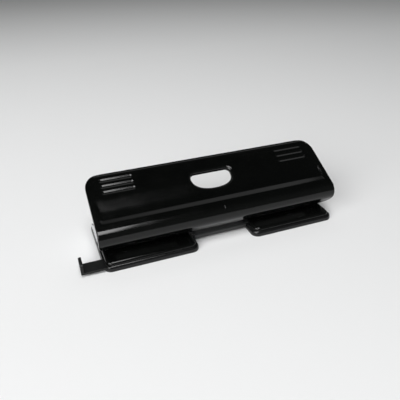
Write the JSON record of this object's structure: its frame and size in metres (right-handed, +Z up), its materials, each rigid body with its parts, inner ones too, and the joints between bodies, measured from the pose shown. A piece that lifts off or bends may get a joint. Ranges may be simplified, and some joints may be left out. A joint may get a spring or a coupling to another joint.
{
  "type": "four-hole punch",
  "caption": "Long desk paper punch: a glossy black lever with a finger cut-out presses spring-returned pins in two low bases, with a sliding side paper guide.",
  "frame": {"origin": "on the desk, under the middle of the punch's box with the guide set for the sheet in the picture", "axes": "+X along the lever, away from the paper guide; +Y from the paper side to the back; +Z up from the desk"},
  "size_m": [0.2828, 0.0874, 0.0717],
  "materials": {
    "gloss_black": "moulded, high gloss",
    "shell_black": "moulded, fine satin grain",
    "drawer_black": "moulded, satin",
    "guide_black": "moulded, satin",
    "cap_black": "moulded, satin",
    "black_enamel": "glossy black stove enamel on pressed steel",
    "zinc": "bright zinc plating on sheet steel",
    "bright_steel": "drawn bright steel",
    "tool_steel": "ground tool steel",
    "spring_steel": "oiled spring wire",
    "pad_rubber": "soft matte rubber"
  },
  "bodies": {
    "base": {"left_punch_frame": "zinc", "right_punch_frame": "zinc", "left_pin_guide": "black_enamel", "right_pin_guide": "black_enamel", "guide_rivets": "bright_steel", "frame_rivets": "bright_steel", "left_deck": "black_enamel", "right_deck": "black_enamel", "left_shell": "shell_black", "right_shell": "shell_black", "left_pads": "pad_rubber", "right_pads": "pad_rubber", "bridge_rail": "black_enamel", "rail_rivets": "black_enamel", "pivot_rod": "bright_steel", "rod_caps": "cap_black", "return_spring_1": "spring_steel", "return_spring_2": "spring_steel", "return_spring_3": "spring_steel", "return_spring_4": "spring_steel"},
    "lever": {"lever_cover": "gloss_black", "lever_frame": "zinc", "cover_screws": "bright_steel", "left_press_rod": "bright_steel", "right_press_rod": "bright_steel"},
    "guide": {"paper_guide": "guide_black"},
    "left_drawer": {"left_chip_drawer": "drawer_black"},
    "right_drawer": {"right_chip_drawer": "drawer_black"},
    "pin_1": {"punch_pin_1": "tool_steel", "pin_clip_1": "spring_steel"},
    "pin_2": {"punch_pin_2": "tool_steel", "pin_clip_2": "spring_steel"},
    "pin_3": {"punch_pin_3": "tool_steel", "pin_clip_3": "spring_steel"},
    "pin_4": {"punch_pin_4": "tool_steel", "pin_clip_4": "spring_steel"}
  },
  "joints": [
    {"name": "lever_press", "type": "hinge", "parent": "base", "child": "lever", "pos_m": [0, -0.02735, 0.032], "axis": [-1, 0, 0], "range_deg": [0, 22], "stiffness_Nm_per_rad": 0.95, "springref_deg": -10.89},
    {"name": "pin_1_stroke", "type": "slide", "parent": "base", "child": "pin_1", "axis": [0, 0, -1], "range_m": [0, 0.00615], "deforming": ["return_spring_1"]},
    {"name": "pin_2_stroke", "type": "slide", "parent": "base", "child": "pin_2", "axis": [0, 0, -1], "range_m": [0, 0.00615], "deforming": ["return_spring_2"]},
    {"name": "pin_3_stroke", "type": "slide", "parent": "base", "child": "pin_3", "axis": [0, 0, -1], "range_m": [0, 0.00615], "deforming": ["return_spring_3"]},
    {"name": "pin_4_stroke", "type": "slide", "parent": "base", "child": "pin_4", "axis": [0, 0, -1], "range_m": [0, 0.00615], "deforming": ["return_spring_4"]},
    {"name": "guide_slide", "type": "slide", "parent": "base", "child": "guide", "axis": [-1, 0, 0], "range_m": [-0.0165, 0.06]},
    {"name": "left_drawer_slide", "type": "slide", "parent": "base", "child": "left_drawer", "axis": [0, 1, 0], "range_m": [0, 0.045]},
    {"name": "right_drawer_slide", "type": "slide", "parent": "base", "child": "right_drawer", "axis": [0, 1, 0], "range_m": [0, 0.045]}
  ],
  "couplings": [
    {"joint": "pin_1_stroke", "follows": "lever_press", "m_per_rad": 0.015902},
    {"joint": "pin_2_stroke", "follows": "lever_press", "m_per_rad": 0.015902},
    {"joint": "pin_3_stroke", "follows": "lever_press", "m_per_rad": 0.015902},
    {"joint": "pin_4_stroke", "follows": "lever_press", "m_per_rad": 0.015902}
  ]
}
